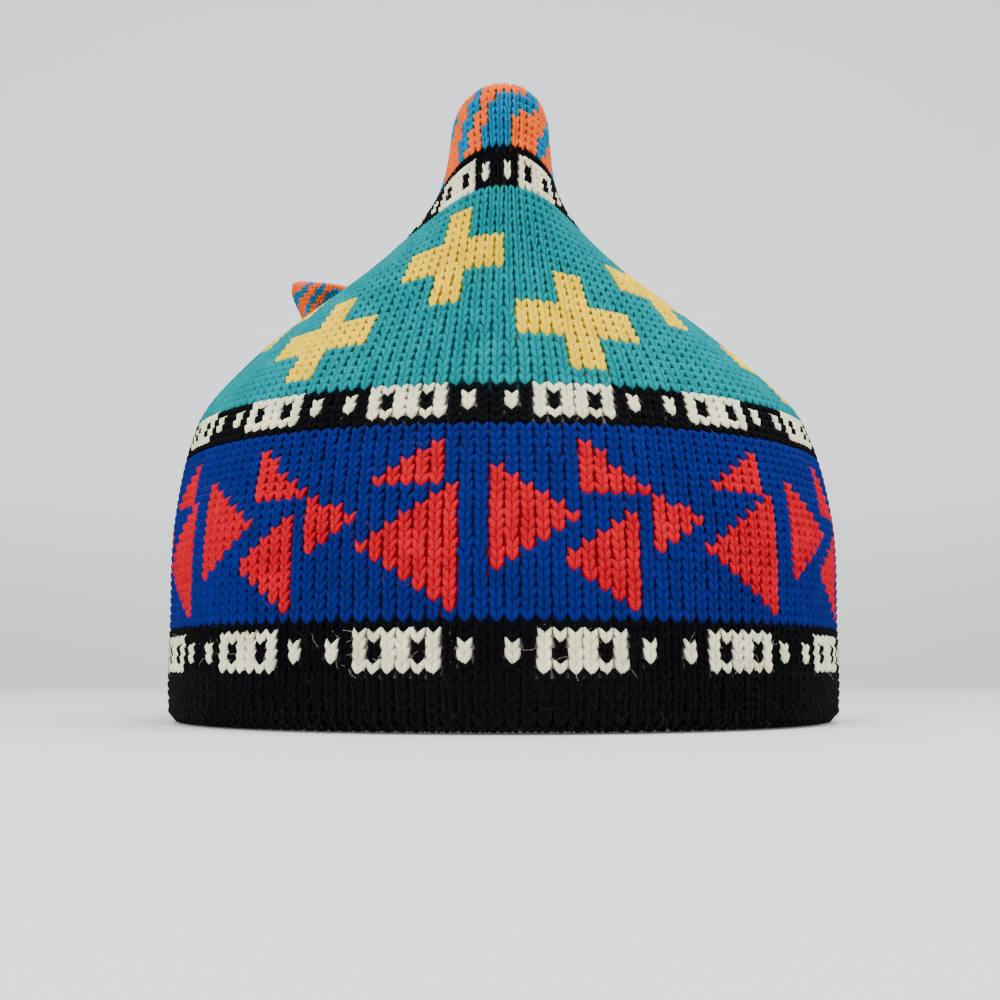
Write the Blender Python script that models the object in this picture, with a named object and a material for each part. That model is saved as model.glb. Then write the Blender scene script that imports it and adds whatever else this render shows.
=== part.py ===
# Stranded knit beanie: one straight knitted tube with a doubled hem, closed at the top by a flat seam.
# Metres, +Z up. The origin is the centre of the rim, on the surface that the hat rests on.
# The front corner of the seam faces -Y. Angles run from there towards +X.

import math
from bisect import bisect_right

import bmesh
import bpy
from mathutils import Vector

# Driving sizes
RIM_DIAMETER = 0.190        # outside, across the rim
PEAK_HEIGHT = 0.174         # top of the front corner
KNIT_WALL = 0.0032          # stranded double thickness of yarn
HEM_WALL = 0.0062           # the hem is folded double
CORNER_WIDTH = 0.029        # across the rounded corners of the crest
CREST_WAIST = 0.019         # across the crest half way between its corners
CREST_SIDE = 0.166          # one side of the crest, from corner to corner
ZONE_GAP = 0.0005           # clearance between two knitted zones
AROUND = 60                 # faces round the tube

RIM_RADIUS = RIM_DIAMETER / 2

# Knitted zones from the rim up: name, rows of stitches, wall, mesh rows, colour (linear RGB)
ZONES = (
    ("hem", 6, HEM_WALL, 2, (0.004, 0.004, 0.008)),
    ("lower_border", 5, KNIT_WALL, 2, (0.040, 0.038, 0.034)),
    ("side_band", 21, KNIT_WALL, 5, (0.010, 0.050, 0.340)),
    ("upper_border", 5, KNIT_WALL, 2, (0.040, 0.038, 0.034)),
    ("crown", 24, KNIT_WALL, 7, (0.004, 0.370, 0.420)),
    ("crest_border", 5, KNIT_WALL, 2, (0.040, 0.038, 0.034)),
    ("crest", 10, KNIT_WALL, 5, (0.800, 0.250, 0.080)),
)
TUBE_ROWS = sum(zone[1] for zone in ZONES)

# Sections of the tube, as shares: where (of the rows), closing (0 round, 1 on the crest line),
# front (reach of the front fold, of the rim radius), heights at the front fold, at the sides and
# at the rear corner (of the peak height), turn (degrees that the rear corner leans to the left)
# and pinch (how far the front fold alone is drawn in, 0 to 1)
SECTIONS = (
    (0.000, 0.00, 1.000, 0.000, 0.000, 0.000, 0, 0.00),
    (0.145, 0.00, 0.990, 0.149, 0.149, 0.149, 2, 0.00),
    (0.316, 0.00, 0.931, 0.319, 0.322, 0.323, 7, 0.00),
    (0.487, 0.06, 0.800, 0.483, 0.487, 0.488, 15, 0.00),
    (0.579, 0.17, 0.732, 0.578, 0.567, 0.575, 22, 0.10),
    (0.697, 0.36, 0.668, 0.701, 0.655, 0.668, 29, 0.28),
    (0.803, 0.59, 0.626, 0.810, 0.715, 0.742, 35, 0.50),
    (0.868, 0.77, 0.605, 0.879, 0.752, 0.784, 38, 0.55),
    (0.934, 0.94, 0.584, 0.945, 0.790, 0.822, 39, 0.30),
    (0.972, 0.99, 0.550, 0.985, 0.808, 0.838, 40, 0.00),
    (1.000, 1.00, 0.470, 1.000, 0.815, 0.843, 40, 0.00),
)

# The crest line seen from above, as shares of the rim radius: two guide points and the rear corner
CREST_GUIDES = ((-0.03, 0.15), (-0.20, 0.80), (-0.76, 0.52))

# The crest swells from its foot and rounds over at its top: share of the rows, share of its width
CREST_ROUNDING = ((0.0, 0.62), (0.80, 0.62), (0.87, 0.74), (0.92, 0.88), (0.96, 0.93), (0.98, 0.82),
                  (1.0, 0.58))

# Cross-section of the folded hem, from its facing round the fold: share of its wall, share of its height
HEM_FOLD = ((1.00, 1.0), (1.00, 0.6), (1.00, 0.25), (0.90, 0.07), (0.72, 0.0),
            (0.28, 0.0), (0.10, 0.07), (0.00, 0.25), (0.00, 0.6), (0.00, 1.0))

SLOPE_STEP = 0.004          # how far apart the points are that the slope of the wall is taken from
WOOL_ROUGHNESS = 0.92
SHARP_EDGE = math.radians(40)
FRONT_SHARPNESS = 5         # how fast the rows drop away from the front fold
CORNER_SHARPNESS = 4        # and from the rear corner
FRONT_EASE = 0.14           # stitches stand wider apart at the front corner
FOLD_SHARPNESS = 24         # how narrow the pinched front fold is
TURN_SHARPNESS = 2          # how much of the tube the lean of the rear corner takes with it


def clear_scene():
    for item in list(bpy.data.objects):
        bpy.data.objects.remove(item, do_unlink=True)


def smooth_column(share, column):
    """Value of one column of SECTIONS at a share of the rows, on a smooth curve."""
    rows = [section[0] for section in SECTIONS]
    values = [section[column] for section in SECTIONS]
    last = len(rows) - 1
    low = min(max(bisect_right(rows, share) - 1, 0), last - 1)

    def slope(index):
        before, after = max(index - 1, 0), min(index + 1, last)
        return (values[after] - values[before]) / (rows[after] - rows[before])

    span = rows[low + 1] - rows[low]
    t = (share - rows[low]) / span
    return ((2 * t**3 - 3 * t**2 + 1) * values[low] + (t**3 - 2 * t**2 + t) * span * slope(low)
            + (3 * t**2 - 2 * t**3) * values[low + 1] + (t**3 - t**2) * span * slope(low + 1))


def crest_rounding(share):
    for (low, wide), (high, narrow) in zip(CREST_ROUNDING, CREST_ROUNDING[1:]):
        if share <= high:
            return wide + (narrow - wide) * (share - low) / (high - low)
    return CREST_ROUNDING[-1][1]


def crest_outline(angle, front, share):
    """Point of the narrow crest outline, which is a bent slot with round ends."""
    along_side = abs(angle) / math.pi
    walked = CREST_SIDE * along_side * (1 + FRONT_EASE * (1 - along_side))
    end_radius = CORNER_WIDTH / 2
    quarter = end_radius * math.pi / 2
    length = CREST_SIDE - 2 * quarter + 2 * end_radius
    left_over = CREST_SIDE - walked
    if walked < quarter:
        along = end_radius * (1 - math.cos(walked / end_radius))
        across = math.sin(walked / end_radius)
    elif left_over < quarter:
        along = length - end_radius * (1 - math.cos(left_over / end_radius))
        across = math.sin(left_over / end_radius)
    else:
        along = walked - quarter + end_radius
        across = 1.0
    s = along / length
    start = Vector((0.0, -front))
    guide_a, guide_b, corner = (Vector(point) * RIM_RADIUS for point in CREST_GUIDES)
    spine = ((1 - s)**3 * start + 3 * (1 - s)**2 * s * guide_a
             + 3 * (1 - s) * s**2 * guide_b + s**3 * corner)
    heading = ((1 - s)**2 * (guide_a - start) + 2 * (1 - s) * s * (guide_b - guide_a)
               + s**2 * (corner - guide_b)).normalized()
    right = Vector((heading.y, -heading.x))
    half_width = (CREST_WAIST + (CORNER_WIDTH - CREST_WAIST) * (2 * s - 1)**2) / 2
    reach = half_width * crest_rounding(share) * across
    return spine + right * reach * (1 if angle >= 0 else -1)


def surface_point(share, angle):
    """Outer face of the knitted tube. The angle runs from -pi to pi, with 0 at the front."""
    front = smooth_column(share, 2) * RIM_RADIUS
    front_height, side_height, corner_height = (smooth_column(share, column) for column in (3, 4, 5))
    at_front = (1 + math.cos(angle)) / 2
    at_corner = (1 - math.cos(angle)) / 2
    closing = smooth_column(share, 1)
    closing += (1 - closing) * smooth_column(share, 7) * at_front**FOLD_SHARPNESS
    turned = angle + math.radians(smooth_column(share, 6)) * at_corner**TURN_SHARPNESS
    depth = front if math.cos(turned) > 0 else RIM_RADIUS
    round_part = Vector((RIM_RADIUS * math.sin(turned), -depth * math.cos(turned)))
    plan = round_part.lerp(crest_outline(angle, front, share), closing)
    height = (side_height + (front_height - side_height) * at_front**FRONT_SHARPNESS
              + (corner_height - side_height) * at_corner**CORNER_SHARPNESS)
    return Vector((plan.x, plan.y, height * PEAK_HEIGHT))


def wall_frame(share, angle, level):
    """Unit vectors into the wall and up it, square to the row; a level wall keeps the rim flat."""
    step = SLOPE_STEP
    below, above = max(share - step, 0.0), min(share + step, 1.0)
    up = surface_point(above, angle) - surface_point(below, angle)
    start = angle - step if angle + step > math.pi else angle
    along_row = surface_point(share, start + step) - surface_point(share, start)
    if level:
        up = Vector((0.0, 0.0, 1.0))
    into_wall = up.cross(along_row).normalized()
    return into_wall, along_row.cross(into_wall).normalized()


def wall_point(share, angle, depth, lift=0.0, level=False):
    into_wall, up_wall = wall_frame(share, angle, level)
    return surface_point(share, angle) + into_wall * depth + up_wall * lift


def ring(bm, share, depth, lift=0.0, level=False):
    angles = (2 * math.pi * i / AROUND for i in range(AROUND))
    signed = (angle - 2 * math.pi if angle > math.pi else angle for angle in angles)
    return [bm.verts.new(wall_point(share, angle, depth, lift, level)) for angle in signed]


def join_rings(bm, lower, upper):
    for i in range(AROUND):
        j = (i + 1) % AROUND
        bm.faces.new((lower[i], lower[j], upper[j], upper[i]))


def close_top(bm, top, facing_up):
    """Bridge the two sides of the crest, from the front corner to the rear one."""
    half = AROUND // 2
    strip = [(top[0], top[1], top[-1])]
    strip += [(top[i], top[i + 1], top[-i - 1], top[-i]) for i in range(1, half - 1)]
    strip.append((top[half - 1], top[half], top[half + 1]))
    for corners in strip:
        bm.faces.new(corners if facing_up else corners[::-1])


def hem_rings(bm, low, high, wall):
    rings = []
    for depth, height in HEM_FOLD:
        lift = -ZONE_GAP / 2 if height == 1.0 else 0.0
        rings.append(ring(bm, low + (high - low) * height, wall * depth, lift, True))
    for first, second in zip(rings, rings[1:] + rings[:1]):
        join_rings(bm, first, second)


def tube_rings(bm, low, high, wall, steps):
    closed_top = high == 1.0
    levels = [low + (high - low) * i / steps for i in range(steps + 1)]
    lifts = [ZONE_GAP / 2] + [0.0] * (steps - 1) + [0.0 if closed_top else -ZONE_GAP / 2]
    outer = [ring(bm, share, 0.0, lift) for share, lift in zip(levels, lifts)]
    inner = [ring(bm, share, wall, lift) for share, lift in zip(levels, lifts)]
    for side in (outer, inner[::-1]):
        for first, second in zip(side, side[1:]):
            join_rings(bm, first, second)
    join_rings(bm, inner[0], outer[0])
    if closed_top:
        close_top(bm, outer[-1], True)
        close_top(bm, inner[-1], False)
    else:
        join_rings(bm, outer[-1], inner[-1])


def knit_material(name, colour):
    material = bpy.data.materials.new(name)
    material.use_nodes = True
    shader = material.node_tree.nodes["Principled BSDF"]
    shader.inputs["Base Color"].default_value = (*colour, 1.0)
    shader.inputs["Roughness"].default_value = WOOL_ROUGHNESS
    shader.inputs["Metallic"].default_value = 0.0
    return material


def knitted_zone(collection, name, low, high, wall, steps, colour):
    bm = bmesh.new()
    if name == "hem":
        hem_rings(bm, low, high, wall)
    else:
        tube_rings(bm, low, high, wall, steps)
    mesh = bpy.data.meshes.new(name)
    bm.to_mesh(mesh)
    bm.free()
    mesh.shade_smooth()
    mesh.set_sharp_from_angle(angle=SHARP_EDGE)
    mesh.materials.append(knit_material(name + "_wool", colour))
    piece = bpy.data.objects.new(name, mesh)
    collection.objects.link(piece)


def build_beanie():
    clear_scene()
    collection = bpy.data.collections.new("beanie")
    bpy.context.scene.collection.children.link(collection)
    low = 0.0
    rows_below = 0
    for name, rows, wall, steps, colour in ZONES:
        rows_below += rows
        high = rows_below / TUBE_ROWS
        knitted_zone(collection, name, low, high, wall, steps, colour)
        low = high


build_beanie()
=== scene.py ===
# Looks of the stranded knit beanie: every stitch as yarn, on the form that the frame holds.

import math
import random

import bmesh
import bpy
import numpy as np
from mathutils import Matrix, Vector


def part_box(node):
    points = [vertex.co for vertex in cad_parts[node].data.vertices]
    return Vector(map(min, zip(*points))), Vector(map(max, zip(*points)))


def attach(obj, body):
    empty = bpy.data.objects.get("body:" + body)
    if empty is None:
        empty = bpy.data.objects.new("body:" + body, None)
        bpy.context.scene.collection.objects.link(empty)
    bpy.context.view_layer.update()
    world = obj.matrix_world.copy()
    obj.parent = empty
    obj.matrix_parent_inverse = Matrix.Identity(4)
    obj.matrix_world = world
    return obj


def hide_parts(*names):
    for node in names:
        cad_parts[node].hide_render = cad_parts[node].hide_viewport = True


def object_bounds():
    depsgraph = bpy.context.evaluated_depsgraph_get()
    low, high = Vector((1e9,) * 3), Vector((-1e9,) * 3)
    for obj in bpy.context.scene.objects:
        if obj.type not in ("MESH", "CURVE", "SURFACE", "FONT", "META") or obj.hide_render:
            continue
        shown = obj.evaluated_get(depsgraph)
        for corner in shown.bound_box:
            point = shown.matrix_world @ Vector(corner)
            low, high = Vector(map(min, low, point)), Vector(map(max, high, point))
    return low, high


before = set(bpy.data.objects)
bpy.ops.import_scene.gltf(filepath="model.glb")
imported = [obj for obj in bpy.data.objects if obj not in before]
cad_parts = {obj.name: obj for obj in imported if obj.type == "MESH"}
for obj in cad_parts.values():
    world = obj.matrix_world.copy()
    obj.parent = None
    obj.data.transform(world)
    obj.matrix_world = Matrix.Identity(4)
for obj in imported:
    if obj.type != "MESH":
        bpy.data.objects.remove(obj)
cad_low, cad_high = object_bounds()


# The knitted tube. The hat is one straight tube of wool, 168 stitches round and 76 rows tall,
# knitted with two strands and closed at the top by a flat seam from corner to corner. Its form
# is a loft of the same few sections as the frame's, so that each stitch lies where it belongs.

STITCHES_ROUND = 168
ROWS = 76
FRONT_STITCH = 3              # the stitch line that runs up the front corner
rim_low, rim_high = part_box("hem")
RIM_RADIUS = (rim_high[1] - rim_low[1]) / 2
PEAK_HEIGHT = cad_high[2]
CORNER_WIDTH = 0.029
CREST_WAIST = 0.019
CREST_SIDE = 0.166

# Shares: where (of the rows), closing, reach of the front fold, heights at the front fold, at the
# sides and at the rear corner, turn (degrees that the rear corner leans to the left) and pinch
# (how far the front fold alone is drawn in)
SECTIONS = np.array((
    (0.000, 0.00, 1.000, 0.000, 0.000, 0.000, 0, 0.00),
    (0.145, 0.00, 0.990, 0.149, 0.149, 0.149, 2, 0.00),
    (0.316, 0.00, 0.931, 0.319, 0.322, 0.323, 7, 0.00),
    (0.487, 0.06, 0.800, 0.483, 0.487, 0.488, 15, 0.00),
    (0.579, 0.17, 0.732, 0.578, 0.567, 0.575, 22, 0.10),
    (0.697, 0.36, 0.668, 0.701, 0.655, 0.668, 29, 0.28),
    (0.803, 0.59, 0.626, 0.810, 0.715, 0.742, 35, 0.50),
    (0.868, 0.77, 0.605, 0.879, 0.752, 0.784, 38, 0.55),
    (0.934, 0.94, 0.584, 0.945, 0.790, 0.822, 39, 0.30),
    (0.972, 0.99, 0.550, 0.985, 0.808, 0.838, 40, 0.00),
    (1.000, 1.00, 0.470, 1.000, 0.815, 0.843, 40, 0.00),
))
# Spine of the crest seen from above: two guide points and the rear corner, in shares of the radius
CREST_GUIDES = ((-0.03, 0.15), (-0.20, 0.80), (-0.76, 0.52))
# The crest swells above a neck and closes on its seam: share of the rows, share of its width
CREST_ROUNDING = ((0.0, 0.62), (0.80, 0.62), (0.87, 0.74), (0.92, 0.88), (0.96, 0.93), (0.98, 0.82),
                  (1.0, 0.58), (1.025, 0.32), (1.04, 0.03))
SEAM_SHARE = 1.04
SEAM_RISE = 0.0015            # the seam stands this far above the last row
FRONT_EASE = 0.14             # stitches are this much wider at the front corner than halfway back
# Powers: a higher one keeps the peak, the rear corner, the pinch or the turn nearer to its place
FRONT_SHARPNESS, CORNER_SHARPNESS, FOLD_SHARPNESS, TURN_SHARPNESS = 5, 4, 24, 2
SLOPE_ROWS = 0.35             # the slope of the wall is taken this far below and above a row


def smooth_columns(share):
    """All columns of SECTIONS at a share of the rows, each on a smooth curve."""
    rows = SECTIONS[:, 0]
    last = len(rows) - 1
    share = min(share, 1.0)
    low = min(max(int(np.searchsorted(rows, share, side="right")) - 1, 0), last - 1)

    def slope(index):
        before, after = max(index - 1, 0), min(index + 1, last)
        return (SECTIONS[after] - SECTIONS[before]) / (rows[after] - rows[before])

    span = rows[low + 1] - rows[low]
    t = (share - rows[low]) / span
    return ((2 * t**3 - 3 * t**2 + 1) * SECTIONS[low] + (t**3 - 2 * t**2 + t) * span * slope(low)
            + (3 * t**2 - 2 * t**3) * SECTIONS[low + 1] + (t**3 - t**2) * span * slope(low + 1))


def crest_outline(angles, front, share):
    """Narrow outline of the crest seen from above: a bent slot with round ends."""
    along_side = np.abs(angles) / math.pi
    walked = CREST_SIDE * along_side * (1 + FRONT_EASE * (1 - along_side))
    left_over = CREST_SIDE - walked
    end_radius = CORNER_WIDTH / 2
    quarter = end_radius * math.pi / 2
    length = CREST_SIDE - 2 * quarter + 2 * end_radius
    at_front = np.minimum(walked, quarter) / end_radius
    at_rear = np.minimum(left_over, quarter) / end_radius
    along = np.where(walked < quarter, end_radius * (1 - np.cos(at_front)), walked - quarter + end_radius)
    along = np.where(left_over < quarter, length - end_radius * (1 - np.cos(at_rear)), along)
    at_ends = np.where(left_over < quarter, np.sin(at_rear), 1.0)
    across = np.where(walked < quarter, np.sin(at_front), at_ends)
    s = (along / length)[:, None]
    start = np.array((0.0, -front))
    guide_a, guide_b, corner = (np.array(point) * RIM_RADIUS for point in CREST_GUIDES)
    spine = ((1 - s)**3 * start + 3 * (1 - s)**2 * s * guide_a
             + 3 * (1 - s) * s**2 * guide_b + s**3 * corner)
    heading = ((1 - s)**2 * (guide_a - start) + 2 * (1 - s) * s * (guide_b - guide_a)
               + s**2 * (corner - guide_b))
    heading /= np.linalg.norm(heading, axis=1)[:, None]
    right = np.stack((heading[:, 1], -heading[:, 0]), axis=1)
    half_width = (CREST_WAIST + (CORNER_WIDTH - CREST_WAIST) * (2 * s[:, 0] - 1)**2) / 2
    shares, widths = zip(*CREST_ROUNDING)
    reach = half_width * np.interp(share, shares, widths) * across * np.where(angles >= 0, 1, -1)
    return spine + right * reach[:, None]


def tube_surface(share, angles):
    """Outer face of the tube at one height of knitting; angles run from -pi to pi, 0 in front."""
    angles = (np.asarray(angles) + math.pi) % (2 * math.pi) - math.pi
    _, closing, front, front_height, side_height, corner_height, turn, pinch = smooth_columns(share)
    front *= RIM_RADIUS
    at_front = (1 + np.cos(angles)) / 2
    at_corner = 1 - at_front
    closing = (closing + (1 - closing) * pinch * at_front**FOLD_SHARPNESS)[:, None]
    turned = angles + math.radians(turn) * at_corner**TURN_SHARPNESS
    depth = np.where(np.cos(turned) > 0, front, RIM_RADIUS)
    round_part = np.stack((RIM_RADIUS * np.sin(turned), -depth * np.cos(turned)), axis=1)
    plan = (1 - closing) * round_part + closing * crest_outline(angles, front, share)
    height = (side_height + (front_height - side_height) * at_front**FRONT_SHARPNESS
              + (corner_height - side_height) * at_corner**CORNER_SHARPNESS) * PEAK_HEIGHT
    height += SEAM_RISE * min(max(share - 1.0, 0.0) / (SEAM_SHARE - 1.0), 1.0)
    return np.column_stack((plan, height))


def unit(vectors):
    return vectors / np.maximum(np.linalg.norm(vectors, axis=1), 1e-9)[:, None]


def tube_frames(row, angles):
    """Points of one row with their vectors along the row, up the wall and out of it."""
    share, step = row / ROWS, SLOPE_ROWS / ROWS
    angle_step = math.pi / STITCHES_ROUND
    points = tube_surface(share, angles)
    low, high = max(share - step, 0.0), min(share + step, SEAM_SHARE)
    up = (tube_surface(high, angles) - tube_surface(low, angles)) / ((high - low) * ROWS)
    along = tube_surface(share, angles + angle_step) - tube_surface(share, angles - angle_step)
    return points, along, up, unit(np.cross(along, up))


# The yarn. Each stitch is a V of two plump legs of soft two-ply wool, which come out from under
# the stitch below and dive under the one above. One leg is a bent tapered tube, and the second
# is its mirror image. The points that carry them hold their turn, their size and their colour.

LEG_PATH = ((0.07, -0.62, -0.10), (0.13, -0.12, 0.26), (0.25, 0.42, 0.36), (0.38, 1.02, -0.12))
LEG_RADII = ((0.12, 0.32), (0.195, 0.50), (0.205, 0.52), (0.13, 0.32))
LEG_SIDES = 4
LEG_FULLNESS = 1.08           # four flat sides enclose a little less than round yarn
LEG_LEAN = 0.32               # its rings lie across the slope of the leg
YARN_THICKNESS = 0.0016
# Hand-fed yarn is never quite even: spread of each stitch's size, place and lean
UNEVEN_SIZE, UNEVEN_PLACE, UNEVEN_LEAN = 0.05, 0.03, 0.05
STITCH_SEED = 11


def stitch_mesh():
    bm = bmesh.new()
    for mirror in (1, -1):
        rings = []
        for (x, y, z), (wide, thick) in zip(LEG_PATH, LEG_RADII):
            loop = []
            for i in range(LEG_SIDES):
                turn = 2 * math.pi * i / LEG_SIDES * mirror
                side = math.cos(turn) * wide * LEG_FULLNESS
                height = math.sin(turn) * thick * LEG_FULLNESS
                loop.append(bm.verts.new((x * mirror + side, y - side * LEG_LEAN * mirror, z + height)))
            rings.append(loop)
        for lower, upper in zip(rings, rings[1:]):
            for i in range(LEG_SIDES):
                j = (i + 1) % LEG_SIDES
                bm.faces.new((lower[i], upper[i], upper[j], lower[j]))
    bmesh.ops.recalc_face_normals(bm, faces=bm.faces[:])
    mesh = bpy.data.meshes.new("stitch")
    bm.to_mesh(mesh)
    bm.free()
    mesh.shade_smooth()
    return mesh


def linear(hex_colour):
    """sRGB hex to linear RGB."""
    parts = [int(hex_colour[i:i + 2], 16) / 255 for i in (1, 3, 5)]
    return tuple(c / 12.92 if c <= 0.04045 else ((c + 0.055) / 1.055) ** 2.4 for c in parts)


YARNS = {
    "black": linear("#04050A"),
    "cream": linear("#F8F3D6"),
    "blue": linear("#0A1C74"),
    "red": linear("#C40022"),
    "teal": linear("#008691"),
    "yellow": linear("#FBD600"),
    "orange": linear("#F7661C"),
    "lake": linear("#0078A8"),
}


def linked_piece(name, mesh):
    piece = bpy.data.objects.new(name, mesh)
    bpy.context.scene.collection.objects.link(piece)
    return piece


stitch_object = linked_piece("stitch_pattern", stitch_mesh())


def add_node(tree, kind, settings=None, values=None, links=None):
    """Add a node with its settings, its input values and the sockets that feed its inputs."""
    node = tree.nodes.new(kind)
    for key, value in (settings or {}).items():
        setattr(node, key, value)
    for key, value in (values or {}).items():
        node.inputs[key].default_value = value
    for key, source in (links or {}).items():
        tree.links.new(source, node.inputs[key])
    return node


def stitch_tree():
    """Geometry Nodes: one stitch on each point, turned, sized and coloured by the point."""
    tree = bpy.data.node_groups.new("stitches_on_points", "GeometryNodeTree")
    tree.interface.new_socket("Geometry", in_out="INPUT", socket_type="NodeSocketGeometry")
    tree.interface.new_socket("Stitch", in_out="INPUT", socket_type="NodeSocketObject")
    tree.interface.new_socket("Wool", in_out="INPUT", socket_type="NodeSocketMaterial")
    tree.interface.new_socket("Geometry", in_out="OUTPUT", socket_type="NodeSocketGeometry")
    start = add_node(tree, "NodeGroupInput")
    stitch = add_node(tree, "GeometryNodeObjectInfo", links={"Object": start.outputs["Stitch"]})
    vector = {"data_type": "FLOAT_VECTOR"}
    turn = add_node(tree, "GeometryNodeInputNamedAttribute", vector, {"Name": "turn"})
    size = add_node(tree, "GeometryNodeInputNamedAttribute", vector, {"Name": "size"})
    rotation = add_node(tree, "FunctionNodeEulerToRotation", links={"Euler": turn.outputs["Attribute"]})
    placed = add_node(tree, "GeometryNodeInstanceOnPoints", links={
        "Points": start.outputs["Geometry"], "Instance": stitch.outputs["Geometry"],
        "Rotation": rotation.outputs[0], "Scale": size.outputs["Attribute"]})
    real = add_node(tree, "GeometryNodeRealizeInstances", links={"Geometry": placed.outputs[0]})
    dyed = add_node(tree, "GeometryNodeSetMaterial", links={
        "Geometry": real.outputs[0], "Material": start.outputs["Wool"]})
    add_node(tree, "NodeGroupOutput", links={0: dyed.outputs[0]})
    return tree


stitches_on_points = stitch_tree()


DYE_PATCH_MM = 6.25           # dyed wool is lighter and darker in patches of about this size


def wool_material(name, ply_mm, fuzz, sheen):
    """Spun wool: matt, with fine twisted plies and a soft bloom of loose fibre at grazing angles."""
    # Single fibres are too fine to show, so they are drawn as coarse as the twist of a ply
    material = bpy.data.materials.new(name)
    material.use_nodes = True
    tree = material.node_tree
    shader = tree.nodes["Principled BSDF"]
    shader.inputs["IOR"].default_value = 1.54
    shader.inputs["Specular IOR Level"].default_value = 0.05
    shader.inputs["Roughness"].default_value = 0.92
    shader.inputs["Sheen Weight"].default_value = sheen
    shader.inputs["Sheen Roughness"].default_value = 0.55
    shader.inputs["Sheen Tint"].default_value = (1.0, 1.0, 1.0, 1.0)
    place = add_node(tree, "ShaderNodeTexCoord")
    yarn = add_node(tree, "ShaderNodeAttribute", {"attribute_name": "yarn"})
    fibres = add_node(tree, "ShaderNodeTexNoise",
                      values={"Scale": 1000 / ply_mm, "Detail": 3.0, "Roughness": 0.7},
                      links={"Vector": place.outputs["Object"]})
    dye = add_node(tree, "ShaderNodeTexNoise", values={"Scale": 1000 / DYE_PATCH_MM, "Detail": 2.0},
                   links={"Vector": place.outputs["Object"]})
    light = add_node(tree, "ShaderNodeMapRange", values={"From Min": 0.3, "From Max": 0.72,
                                                         "To Min": 1.0 - fuzz, "To Max": 1.0 + fuzz},
                     links={"Value": fibres.outputs["Fac"]})
    uneven = add_node(tree, "ShaderNodeMapRange", values={"From Min": 0.3, "From Max": 0.7,
                                                          "To Min": 0.84, "To Max": 1.12},
                      links={"Value": dye.outputs["Fac"]})
    strength = add_node(tree, "ShaderNodeMath", {"operation": "MULTIPLY"},
                        links={0: light.outputs[0], 1: uneven.outputs[0]})
    shaded = add_node(tree, "ShaderNodeVectorMath", {"operation": "SCALE"},
                      links={"Vector": yarn.outputs["Color"], "Scale": strength.outputs[0]})
    tree.links.new(shaded.outputs[0], shader.inputs["Base Color"])
    bump = add_node(tree, "ShaderNodeBump", values={"Strength": 0.9, "Distance": 0.00025},
                    links={"Height": fibres.outputs["Fac"]})
    tree.links.new(bump.outputs[0], shader.inputs["Normal"])
    return material


def set_point_data(mesh, name, kind, key, values):
    mesh.attributes.new(name, kind, "POINT").data.foreach_set(key, values.astype(np.float32).ravel())


def set_yarn_colours(mesh, colours):
    rgba = np.column_stack((np.array(colours), np.ones(len(colours))))
    set_point_data(mesh, "yarn", "FLOAT_COLOR", "color", rgba)


def carrier_points(name, frames, colours):
    """A mesh of loose points, one for each stitch, with the attributes that the tree reads."""
    points, alongs, ups, outs = (np.concatenate(parts) for parts in zip(*frames))
    chance = np.random.default_rng(STITCH_SEED)
    across, higher, lean, bigger = chance.normal(0, 1, (4, len(points), 1))
    points = points + (alongs * across + ups * higher) * UNEVEN_PLACE
    alongs = alongs + unit(ups) * np.linalg.norm(alongs, axis=1)[:, None] * lean * UNEVEN_LEAN
    alongs = alongs * (1 + bigger * UNEVEN_SIZE)
    mesh = bpy.data.meshes.new(name)
    mesh.vertices.add(len(points))
    mesh.vertices.foreach_set("co", points.astype(np.float32).ravel())
    widths = np.linalg.norm(alongs, axis=1)
    heights = np.linalg.norm(ups, axis=1)
    x_axes = unit(alongs)
    y_axes = unit(np.cross(outs, x_axes))
    z_axes = np.cross(x_axes, y_axes)
    turns = np.empty((len(points), 3), np.float32)
    for i in range(len(points)):
        turn = Matrix((x_axes[i], y_axes[i], z_axes[i])).transposed().to_euler("XYZ")
        turns[i] = (turn.x, turn.y, turn.z)
    sizes = np.column_stack((widths, heights, np.full(len(points), YARN_THICKNESS)))
    set_point_data(mesh, "turn", "FLOAT_VECTOR", "vector", turns)
    set_point_data(mesh, "size", "FLOAT_VECTOR", "vector", sizes)
    set_yarn_colours(mesh, colours)
    return linked_piece(name + "_points", mesh)


def knit(name, frames, colours, material):
    """Grow the stitches on their points and return them as one plain mesh object."""
    carrier = carrier_points(name, frames, colours)
    grow = carrier.modifiers.new("stitches", "NODES")
    grow.node_group = stitches_on_points
    sockets = {item.name: item.identifier for item in stitches_on_points.interface.items_tree
               if item.in_out == "INPUT"}
    grow[sockets["Stitch"]] = stitch_object
    grow[sockets["Wool"]] = material
    depsgraph = bpy.context.evaluated_depsgraph_get()
    grown = bpy.data.meshes.new_from_object(carrier.evaluated_get(depsgraph),
                                            preserve_all_data_layers=True, depsgraph=depsgraph)
    bpy.data.objects.remove(carrier, do_unlink=True)
    return linked_piece(name, grown)


STITCH_RISE = 0.15            # a stitch starts this far up its row


def stitch_angles():
    return (np.arange(STITCHES_ROUND) + 0.5 - FRONT_STITCH) * 2 * math.pi / STITCHES_ROUND


def knit_zone(name, rows, chart, material):
    """Knit some rows of the tube from a chart that names the yarn of each stitch."""
    angles = stitch_angles()
    frames = [tube_frames(row + STITCH_RISE, angles) for row in rows]
    colours = [YARNS[chart(stitch, row)] for row in rows for stitch in range(STITCHES_ROUND)]
    return knit(name, frames, colours, material)


# The hem. Plain black wool, knitted twice as deep as it shows, folded inwards and sewn down,
# so it is doubled and round at its edge. Its stitches run down the facing, round the fold and
# up the outside without a break.

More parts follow.
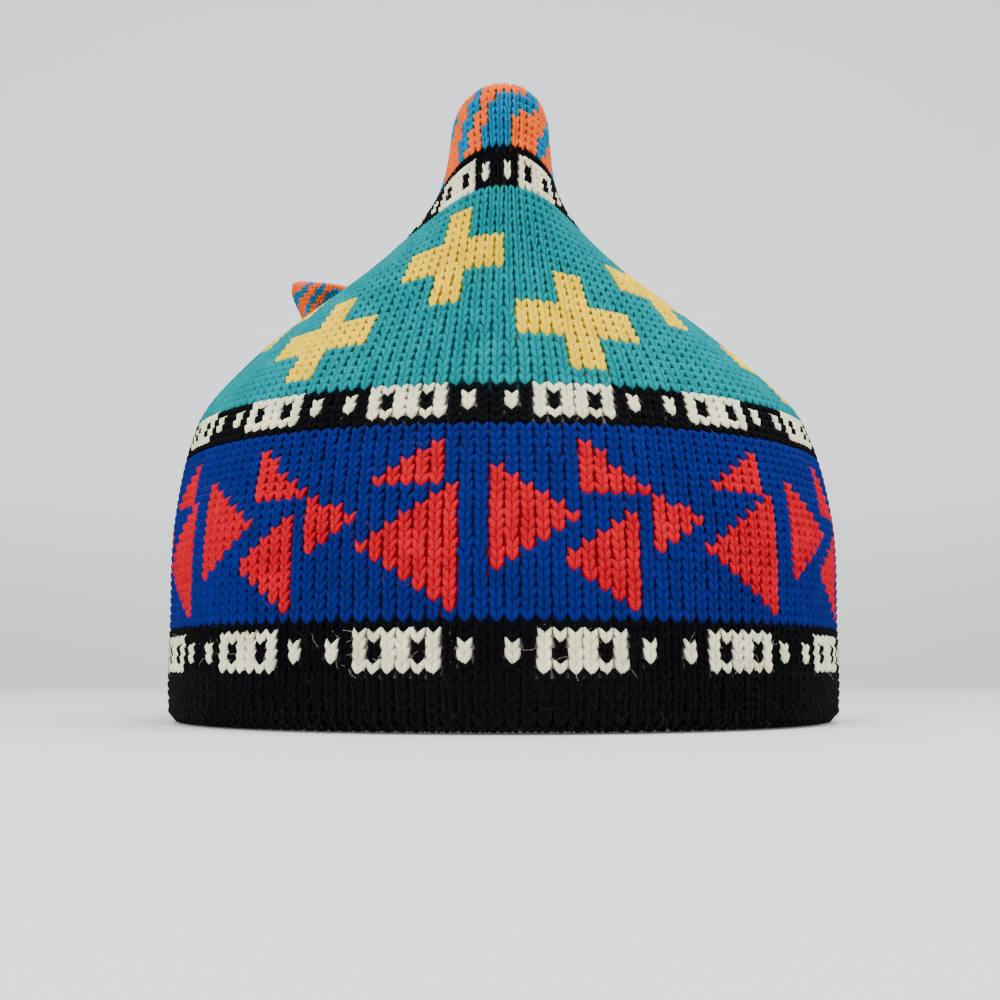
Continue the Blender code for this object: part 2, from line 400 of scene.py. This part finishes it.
ROW_HEIGHT = 0.00236
HEM_ROWS = 6
HEM_WALL = 0.0062
HEM_EASE = 0.0004             # the fold is drawn this much tighter than the hem's wall
HEM_LIFT = 0.0016             # room under the fold for the thickness of its yarn
HEM_STITCH_RISE = 0.2         # a stitch of the hem starts this far along its row
HEM_FOLD_RADIUS = HEM_WALL / 2 - HEM_EASE
HEM_FOLD_LENGTH = math.pi * HEM_FOLD_RADIUS
FACING_LENGTH = HEM_ROWS * ROW_HEIGHT - HEM_FOLD_RADIUS - HEM_LIFT
HEM_KNITTED_LENGTH = 2 * FACING_LENGTH + HEM_FOLD_LENGTH
HEM_KNITTED_ROWS = int(HEM_KNITTED_LENGTH / ROW_HEIGHT) + 1


def hem_frames(row, angles):
    """As tube_frames, for the doubled hem: down its facing, round its fold and up its outside."""
    walked = row * ROW_HEIGHT
    past_facing = walked - FACING_LENGTH
    points, along, _, out = tube_frames(0.0, angles)
    flat_out = unit(out * np.array((1.0, 1.0, 0.0)))
    vertical = np.array((0.0, 0.0, 1.0))
    centre = points - flat_out * HEM_WALL / 2 + vertical * (HEM_FOLD_RADIUS + HEM_LIFT)
    if past_facing < 0:
        facing = centre - flat_out * HEM_FOLD_RADIUS + vertical * (FACING_LENGTH - walked)
        return facing, along, np.tile(-vertical * ROW_HEIGHT, (len(points), 1)), -flat_out
    if past_facing < HEM_FOLD_LENGTH:
        turn = past_facing / HEM_FOLD_RADIUS
        radial = -flat_out * math.cos(turn) - vertical * math.sin(turn)
        onward = flat_out * math.sin(turn) - vertical * math.cos(turn)
        return centre + radial * HEM_FOLD_RADIUS, along, onward * ROW_HEIGHT, radial
    outside_row = max(HEM_ROWS - (HEM_KNITTED_LENGTH - walked) / ROW_HEIGHT, 0.0)
    outer, along, up, out = tube_frames(outside_row, angles)
    settle = min((past_facing - HEM_FOLD_LENGTH) / (2 * ROW_HEIGHT), 1.0)
    return outer - out * HEM_EASE * (1 - settle), along, up, out


hem_wool = wool_material("black_wool_hem", ply_mm=0.3, fuzz=0.45, sheen=0.02)
hem_rows = [hem_frames(row + HEM_STITCH_RISE, stitch_angles()) for row in range(HEM_KNITTED_ROWS)]
hem_colours = [YARNS["black"]] * (HEM_KNITTED_ROWS * STITCHES_ROUND)
hem = knit("hem_knit", hem_rows, hem_colours, hem_wool)
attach(hem, "root")
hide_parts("hem")


# The three borders. Black wool with cream stranded in: a square block with four black eyes, then
# two single cream stitches. The same four rows come back above the band and at the crest's foot.

BORDER_START = -7
BORDER_CHART = ("WWWWWWKKKKKK",
                "WKWWKWKWKKWK",
                "WKWWKWKWKKWK",
                "WWWWWWKKKKKK")
# Borders: name, first row, past-last row, first row of the chart
BORDERS = (("lower_border", 6, 11, 6), ("upper_border", 32, 37, 33), ("crest_border", 61, 66, 61))


def border_chart(first_row):
    def yarn(stitch, row):
        line = row - first_row
        if not 0 <= line < len(BORDER_CHART):
            return "black"
        mark = BORDER_CHART[line][(stitch - BORDER_START) % len(BORDER_CHART[0])]
        return "cream" if mark == "W" else "black"
    return yarn


border_wool = wool_material("black_and_cream_wool_border", ply_mm=0.3, fuzz=0.34, sheen=0.01)
for border_name, first_row, past_row, chart_row in BORDERS:
    border_rows = range(first_row, past_row)
    border = knit_zone(border_name + "_knit", border_rows, border_chart(chart_row), border_wool)
    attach(border, "root")
    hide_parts(border_name)


# The side band. Royal blue wool with red triangles that turn about each other, twenty-one rows
# deep. Each triangle is a fan of red columns, and the group repeats every twenty-four stitches.

BAND_ROWS = range(11, 32)
REPEAT = 24
# Red columns: first stitch, then the first and the past-last row of each column to its right
TRIANGLES = (
    (-7, ((18, 19), (17, 20), (16, 21), (15, 22), (14, 23), (13, 24), (12, 25))),
    (-6, ((25, 26), (25, 27), (25, 28), (25, 29), (25, 30))),
    (2, ((16, 27), (17, 26), (18, 25), (19, 24), (20, 23), (21, 22))),
    (7, ((16, 18), (15, 19), (14, 20), (13, 21), (12, 22))),
    (8, ((24, 30), (24, 29), (24, 27), (24, 26), (24, 25))),
    (13, ((18, 24), (19, 23), (20, 23), (21, 22))),
)


def band_chart(stitch, row):
    for first, columns in TRIANGLES:
        place = (stitch - first) % REPEAT
        if place < len(columns) and columns[place][0] <= row < columns[place][1]:
            return "red"
    return "blue"


band_wool = wool_material("blue_and_red_wool_band", ply_mm=0.3, fuzz=0.42, sheen=0.01)
side_band = knit_zone("side_band_knit", BAND_ROWS, band_chart, band_wool)
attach(side_band, "root")
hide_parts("side_band")


# The crown. Teal wool with yellow crosses in two staggered rows, twenty-four rows deep. An arm is
# four rows high and the upright three stitches wide.

CROWN_ROWS = range(37, 61)
# Crosses: first stitch of the arms, stitches to the upright, first row, first row of the arms
CROSSES = ((4, 4, 39, 43), (-8, 4, 47, 51))
CROSS_WIDTH, UPRIGHT_WIDTH, CROSS_ROWS, ARM_ROWS = 11, 3, 12, 4


def crown_chart(stitch, row):
    for first, inset, foot, arm in CROSSES:
        place = (stitch - first) % REPEAT
        if place < CROSS_WIDTH and arm <= row < arm + ARM_ROWS:
            return "yellow"
        if inset <= place < inset + UPRIGHT_WIDTH and foot <= row < foot + CROSS_ROWS:
            return "yellow"
    return "teal"


crown_wool = wool_material("teal_and_yellow_wool_crown", ply_mm=0.3, fuzz=0.36, sheen=0.01)
crown = knit_zone("crown_knit", CROWN_ROWS, crown_chart, crown_wool)
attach(crown, "root")
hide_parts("crown")


# The crest. The last rows, in orange with stepped blue bands, drawn together over the top. The
# open edges are grafted into one flat seam that runs from the front corner to the rear one.

CREST_ROWS = range(66, int(ROWS * SEAM_SHARE))
# One repeat of the crest, its last row first, from the stitch before the front stitch line
CREST_CHART = ("OOOOOOLLOOOO",
               "OOOOOLLOOLOO",
               "OOOOLLOOOLOO",
               "LLLLLLOOLLOO",
               "LLLLLOOOLLOL",
               "LLLOOOOLLOOL",
               "LLOOOOOLLOOL",
               "LLOOOOLLOOLL",
               "LLOOOOLLOOLL",
               "LLOOOOLOOOLL")


def crest_chart(stitch, row):
    line = min(row - CREST_ROWS.start, len(CREST_CHART) - 1)
    mark = CREST_CHART[-1 - line][(stitch - FRONT_STITCH + 1) % len(CREST_CHART[0])]
    return "lake" if mark == "L" else "orange"


crest_wool = wool_material("orange_and_blue_wool_crest", ply_mm=0.3, fuzz=0.36, sheen=0.01)
crest = knit_zone("crest_knit", CREST_ROWS, crest_chart, crest_wool)
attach(crest, "root")
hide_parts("crest")


# The inside of the knit. Behind each stitch lies its purl bump, and over it floats the strand
# that isn't in use, so the inside shows level ridges in the other colour of the pair. It is a
# thin wall of two faces behind the stitches, from the hem's fold to the seam, with painted shade
# in its colours: darker where it shows between the legs, and darker and lighter along the floats.

PAIRS = {"black": "cream", "cream": "black", "blue": "red", "red": "blue", "teal": "yellow",
         "yellow": "teal", "orange": "lake", "lake": "orange"}
GROUND_DEPTH = 0.0003
PURL_DEPTH = 0.0026
FLOAT_DEPTH = 0.0031
# Painted shade: the wall seen between the legs and the purl bumps are drawn darker than their yarn
GROUND_PAINTED_SHADE, PURL_PAINTED_SHADE = 0.6, 0.8
FLOAT_PAINTED_SHADES = (0.6, 0.75)    # painted shade for a float that dips and rises every two stitches: it is drawn darker and lighter by turns
WALL_FIRST_ROW = 1.0
WALL_LAST_ROW = ROWS + 2.0
HEM_TUCK = 0.001              # the wall turns in by this much a row inside the hem's fold
HEM_TUCK_ROWS = 3.0
SEAM_ROWS = 8                 # over these last rows the wall grows thinner towards the seam
SEAM_FADE_ROWS = 14
SEAM_WALL = 0.3


def yarn_at(stitch, row):
    """Yarn of any stitch, from the chart of the zone that its row is in."""
    if row < HEM_ROWS:
        return "black"
    if row in BAND_ROWS:
        return band_chart(stitch, row)
    if row in CROWN_ROWS:
        return crown_chart(stitch, row)
    for _, first_row, past_row, chart_row in BORDERS:
        if first_row <= row < past_row:
            return border_chart(chart_row)(stitch, row)
    return crest_chart(stitch, row)


def inside_wall():
    angles = stitch_angles()
    verts, colours, rings = [], [], []

    def add_ring(row, depth, shades):
        points, _, _, out = tube_frames(row, angles)
        past = row - (ROWS - SEAM_ROWS)
        thin = 1.0 if past < 0 else max(1.0 - past / SEAM_FADE_ROWS, SEAM_WALL)
        depth += max(HEM_TUCK_ROWS - row, 0.0) * HEM_TUCK
        rings.append(len(verts))
        verts.extend((points - out * depth * thin).tolist())
        colours.extend(shades)

    wall_rows = np.arange(WALL_FIRST_ROW, WALL_LAST_ROW + 1)
    for row in wall_rows:
        yarns = [yarn_at(i, int(row)) for i in range(STITCHES_ROUND)]
        # painted shade: the wall seen between the legs is drawn darker than its yarn
        add_ring(row, GROUND_DEPTH, [np.array(YARNS[yarn]) * GROUND_PAINTED_SHADE for yarn in yarns])
    seam_ring = rings[-1]
    for row in wall_rows[::-1]:
        yarns = [yarn_at(i, int(row)) for i in range(STITCHES_ROUND)]
        # painted shade: purl bumps a little darker than their yarn, floats darker and lighter by turns
        purl = [np.array(YARNS[yarn]) * PURL_PAINTED_SHADE for yarn in yarns]
        floats = [np.array(YARNS[PAIRS[yarn]]) * FLOAT_PAINTED_SHADES[(i // 2 + int(row)) % 2]
                  for i, yarn in enumerate(yarns)]
        add_ring(row, FLOAT_DEPTH, floats if row >= HEM_ROWS else purl)
        add_ring(row - 0.5, PURL_DEPTH, purl)
    faces = []
    for lower, upper in zip(rings, rings[1:] + rings[:1]):
        if lower == seam_ring:
            continue
        for i in range(STITCHES_ROUND):
            j = (i + 1) % STITCHES_ROUND
            faces.append((lower + i, lower + j, upper + j, upper + i))
    mesh = bpy.data.meshes.new("inside_floats")
    mesh.from_pydata(verts, [], faces)
    set_yarn_colours(mesh, colours)
    mesh.shade_smooth()
    mesh.materials.append(wool_material("stranded_wool_inside", ply_mm=0.7, fuzz=0.3, sheen=0.1))
    return linked_piece("inside_floats", mesh)


inside = inside_wall()
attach(inside, "root")


# Loose fibres. Worn wool sheds a few fine hairs, which show most against the black hem. Each is
# a thin three-sided tube in a loose curl, with its root in a stitch.

HAIRS = 6500
HAIR_RADIUS = 0.000016
HAIR_STEPS = 3
HAIR_LENGTH = (0.0012, 0.0045)    # the shortest, and how much longer the longest may be
HAIR_ROOT = 0.0003                # above the wall, inside the yarn
HAIR_RISE, HAIR_SWERVE, HAIR_DROOP = 0.55, 0.9, 0.30
HAIR_SHADE, HAIR_PAINTED_SHEEN = 0.9, 0.035    # a lone hair is drawn a little greyer than its yarn, lifted by a painted sheen
HAIR_LOWEST_ROW = 0.5
# One draw in three is from the black rows under the band, and two are from all the rows
HAIR_TOP_ROWS = (BAND_ROWS.start, ROWS, ROWS)
HAIR_SEED = 7


def loose_fibres():
    chance = random.Random(HAIR_SEED)
    verts, faces, colours = [], [], []
    for _ in range(HAIRS):
        row = chance.choice([chance.uniform(HAIR_LOWEST_ROW, top) for top in HAIR_TOP_ROWS])
        angle = chance.uniform(-math.pi, math.pi)
        point, along, up, out = (Vector(part[0]) for part in tube_frames(row, np.array((angle,))))
        along.normalize()
        up.normalize()
        heading = along * chance.uniform(-1, 1) + up * chance.uniform(-1, 1) + out * HAIR_RISE
        heading.normalize()
        length = HAIR_LENGTH[0] + HAIR_LENGTH[1] * chance.random()**4
        swerve = (along * chance.uniform(-1, 1) + up * chance.uniform(-1, 1)) * HAIR_SWERVE
        stitch = int(angle / (2 * math.pi) * STITCHES_ROUND + FRONT_STITCH) % STITCHES_ROUND
        # painted sheen: the hair's colour is lifted towards grey for the light that a loose fibre catches
        yarn = np.array(YARNS[yarn_at(stitch, int(row))]) * HAIR_SHADE + HAIR_PAINTED_SHEEN
        base = len(verts)
        here = point + out * HAIR_ROOT
        for _ in range(HAIR_STEPS + 1):
            side = heading.cross(out).normalized()
            lift = side.cross(heading).normalized()
            for corner in range(3):
                turn = 2 * math.pi * corner / 3
                verts.append(here + (side * math.cos(turn) + lift * math.sin(turn)) * HAIR_RADIUS)
                colours.append(yarn)
            here = here + heading * length / HAIR_STEPS
            here.z = max(here.z, HAIR_ROOT)
            heading = (heading + swerve / HAIR_STEPS - out * HAIR_DROOP).normalized()
        for k in range(HAIR_STEPS):
            for corner in range(3):
                a, b = base + 3 * k + corner, base + 3 * k + (corner + 1) % 3
                faces.append((a, b, b + 3, a + 3))
        faces.append((base + 2, base + 1, base))
        faces.append(tuple(base + 3 * HAIR_STEPS + corner for corner in range(3)))
    mesh = bpy.data.meshes.new("loose_fibres")
    mesh.from_pydata(verts, [], faces)
    set_yarn_colours(mesh, colours)
    mesh.materials.append(wool_material("loose_wool_fibre", ply_mm=0.5, fuzz=0.1, sheen=0.1))
    return linked_piece("loose_fibres", mesh)


fibres = loose_fibres()
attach(fibres, "root")

bpy.data.objects.remove(stitch_object, do_unlink=True)


# The studio. A pale floor that curves up into a brighter background, a wide soft light overhead
# and one on each side of the camera, and a camera just above the floor in front of the upright
# corner, as the photograph looks at it.

SWEEP_HALF_WIDTH = 2.0
SWEEP_FRONT, SWEEP_BEND, SWEEP_TOP = -1.2, 0.9, 2.2
SWEEP_RADIUS = 0.5
BEND_START, BEND_STEPS = 0.05, 18
GLOW_HEIGHT = 0.30            # the paper glows more from the floor up to this height
FLOOR_GLOW, BACKDROP_GLOW = 0.12, 0.76


def pale_sweep():
    bm = bmesh.new()
    profile = [(SWEEP_FRONT, 0.0), (SWEEP_BEND, 0.0)]
    for t in np.linspace(BEND_START, math.pi / 2, BEND_STEPS):
        profile.append((SWEEP_BEND + SWEEP_RADIUS * math.sin(t), SWEEP_RADIUS * (1 - math.cos(t))))
    profile.append((SWEEP_BEND + SWEEP_RADIUS, SWEEP_TOP))
    sides = (-SWEEP_HALF_WIDTH, SWEEP_HALF_WIDTH)
    left, right = ([bm.verts.new((x, y, z)) for y, z in profile] for x in sides)
    for k in range(len(profile) - 1):
        bm.faces.new((left[k], right[k], right[k + 1], left[k + 1]))
    mesh = bpy.data.meshes.new("pale_sweep")
    bm.to_mesh(mesh)
    bm.free()
    mesh.shade_smooth()
    material = bpy.data.materials.new("matt_pale_paper")
    material.use_nodes = True
    tree = material.node_tree
    shader = tree.nodes["Principled BSDF"]
    shader.inputs["Base Color"].default_value = (*linear("#E6E7E4"), 1.0)
    shader.inputs["Roughness"].default_value = 0.85
    shader.inputs["Emission Color"].default_value = (*linear("#D9E5F2"), 1.0)
    place = add_node(tree, "ShaderNodeTexCoord")
    height = add_node(tree, "ShaderNodeSeparateXYZ", links={"Vector": place.outputs["Object"]})
    glow = add_node(tree, "ShaderNodeMapRange",
                    values={"From Max": GLOW_HEIGHT, "To Min": FLOOR_GLOW, "To Max": BACKDROP_GLOW},
                    links={"Value": height.outputs["Z"]})
    tree.links.new(glow.outputs[0], shader.inputs["Emission Strength"])
    mesh.materials.append(material)
    return linked_piece("pale_sweep", mesh)


pale_sweep()


WARM_WHITE = (1.0, 0.97, 0.88)


def soft_light(name, place, target, size, watts):
    light = bpy.data.lights.new(name, "AREA")
    light.shape = "DISK"
    light.size = size
    light.energy = watts
    light.color = WARM_WHITE
    lamp = bpy.data.objects.new(name, light)
    lamp.location = place
    lamp.rotation_euler = (Vector(target) - Vector(place)).to_track_quat("-Z", "Y").to_euler()
    bpy.context.scene.collection.objects.link(lamp)


soft_light("overhead_light", (0.10, -0.15, 0.95), (0, 0, 0.08), 0.9, 12.5)
soft_light("front_light", (-0.55, -0.85, 0.45), (0, 0, 0.07), 0.7, 9.5)
soft_light("side_light", (0.8, -0.3, 0.35), (0, 0, 0.08), 0.6, 4.0)

world = bpy.data.worlds.new("pale_room")
world.use_nodes = True
world.node_tree.nodes["Background"].inputs["Color"].default_value = (0.86, 0.90, 0.96, 1.0)
world.node_tree.nodes["Background"].inputs["Strength"].default_value = 0.60
bpy.context.scene.world = world

CAMERA_PLACE = (-0.001, -0.380, 0.014)
CAMERA_PITCH = 7.7
camera_data = bpy.data.cameras.new("camera")
camera_data.sensor_width = 36.0
camera_data.lens = 45.7
camera_data.clip_start = 0.01
camera = bpy.data.objects.new("camera", camera_data)
camera.location = CAMERA_PLACE
camera.rotation_euler = (math.radians(90 + CAMERA_PITCH), 0, 0)
bpy.context.scene.collection.objects.link(camera)
bpy.context.scene.camera = camera
